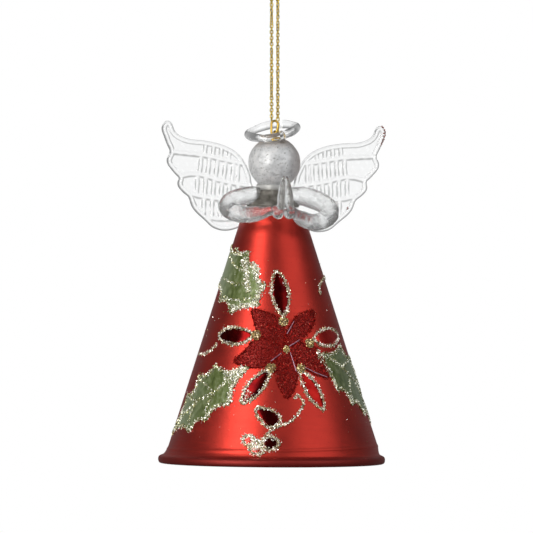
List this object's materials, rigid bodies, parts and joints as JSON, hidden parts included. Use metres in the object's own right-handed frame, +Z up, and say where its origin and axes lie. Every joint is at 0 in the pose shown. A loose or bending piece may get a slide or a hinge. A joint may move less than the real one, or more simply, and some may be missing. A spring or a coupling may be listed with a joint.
{
  "type": "glass angel bell ornament",
  "caption": "Hanging glass angel whose red cone dress is a bell, with wings, praying arms and halo of clear glass, a swinging clapper and a gold chain loop.",
  "frame": {"origin": "centre of the flat ring that the bell's rim rests on", "axes": "+Z up along the bell's axis, the angel faces -Y, +X towards its left hand"},
  "size_m": [0.0846, 0.083, 0.1798],
  "materials": {
    "red_lacquered_glass": "satin red lacquer on blown glass",
    "silvered_glass": "silvered inside, satin",
    "frosted_silver_glass": "frosted, silvered, mottled",
    "clear_glass": "clear, fire polished",
    "gold_chain": "bright gold plated wire",
    "clapper_metal": "polished"
  },
  "bodies": {
    "angel": {"bell_skirt": "red_lacquered_glass", "neck_collar": "silvered_glass", "head": "frosted_silver_glass", "wing_left": "clear_glass", "wing_right": "clear_glass", "arm_left": "clear_glass", "arm_right": "clear_glass", "hand_left": "clear_glass", "hand_right": "clear_glass", "halo": "clear_glass", "halo_foot": "clear_glass", "hanging_eye": "clear_glass", "clapper_eye": "gold_chain"},
    "jump_ring": {"jump_ring": "gold_chain"},
    "chain_1": {"chain_left_1": "gold_chain", "chain_right_1": "gold_chain"},
    "chain_2": {"chain_left_2": "gold_chain", "chain_right_2": "gold_chain"},
    "chain_3": {"chain_left_3": "gold_chain", "chain_right_3": "gold_chain"},
    "chain_4": {"chain_left_4": "gold_chain", "chain_right_4": "gold_chain"},
    "chain_5": {"chain_left_5": "gold_chain", "chain_right_5": "gold_chain"},
    "chain_6": {"chain_left_6": "gold_chain", "chain_right_6": "gold_chain", "chain_bend": "gold_chain"},
    "clapper_link": {"clapper_link": "gold_chain"},
    "clapper": {"clapper_stem": "gold_chain", "clapper_ball": "clapper_metal"}
  },
  "joints": [
    {"name": "ring_side_swing", "type": "hinge", "parent": "angel", "child": "jump_ring", "pos_m": [0.00045, -0.001, 0.1212], "axis": [0, 1, 0], "range_deg": [-55, 55]},
    {"name": "chain_front_swing", "type": "hinge", "parent": "jump_ring", "child": "chain_1", "pos_m": [0.00045, -0.001, 0.12525], "axis": [1, 0, 0], "range_deg": [-60, 60]},
    {"name": "chain_curl_side_2", "type": "hinge", "parent": "chain_1", "child": "chain_2", "pos_m": [0.00045, -0.001, 0.13405], "axis": [0, 1, 0], "range_deg": [-17, 17]},
    {"name": "chain_curl_front_3", "type": "hinge", "parent": "chain_2", "child": "chain_3", "pos_m": [0.00045, -0.001, 0.14285], "axis": [1, 0, 0], "range_deg": [-18.5, 18.5]},
    {"name": "chain_curl_side_4", "type": "hinge", "parent": "chain_3", "child": "chain_4", "pos_m": [0.00045, -0.001, 0.15165], "axis": [0, 1, 0], "range_deg": [-17, 17]},
    {"name": "chain_curl_front_5", "type": "hinge", "parent": "chain_4", "child": "chain_5", "pos_m": [0.00045, -0.001, 0.16045], "axis": [1, 0, 0], "range_deg": [-18.5, 18.5]},
    {"name": "chain_curl_side_6", "type": "hinge", "parent": "chain_5", "child": "chain_6", "pos_m": [0.00045, -0.001, 0.16925], "axis": [0, 1, 0], "range_deg": [-17, 17]},
    {"name": "clapper_side_swing", "type": "hinge", "parent": "angel", "child": "clapper_link", "pos_m": [0, 0, 0.088], "axis": [0, 1, 0], "range_deg": [-8, 8]},
    {"name": "clapper_swing", "type": "hinge", "parent": "clapper_link", "child": "clapper", "pos_m": [0, 0, 0.0845], "axis": [1, 0, 0], "range_deg": [-21, 21]}
  ],
  "couplings": [
    {"joint": "chain_curl_side_2", "follows": "ring_side_swing", "ratio": 0.3},
    {"joint": "chain_curl_side_4", "follows": "ring_side_swing", "ratio": 0.3},
    {"joint": "chain_curl_side_6", "follows": "ring_side_swing", "ratio": 0.3},
    {"joint": "chain_curl_front_3", "follows": "chain_front_swing", "ratio": 0.3},
    {"joint": "chain_curl_front_5", "follows": "chain_front_swing", "ratio": 0.3}
  ]
}
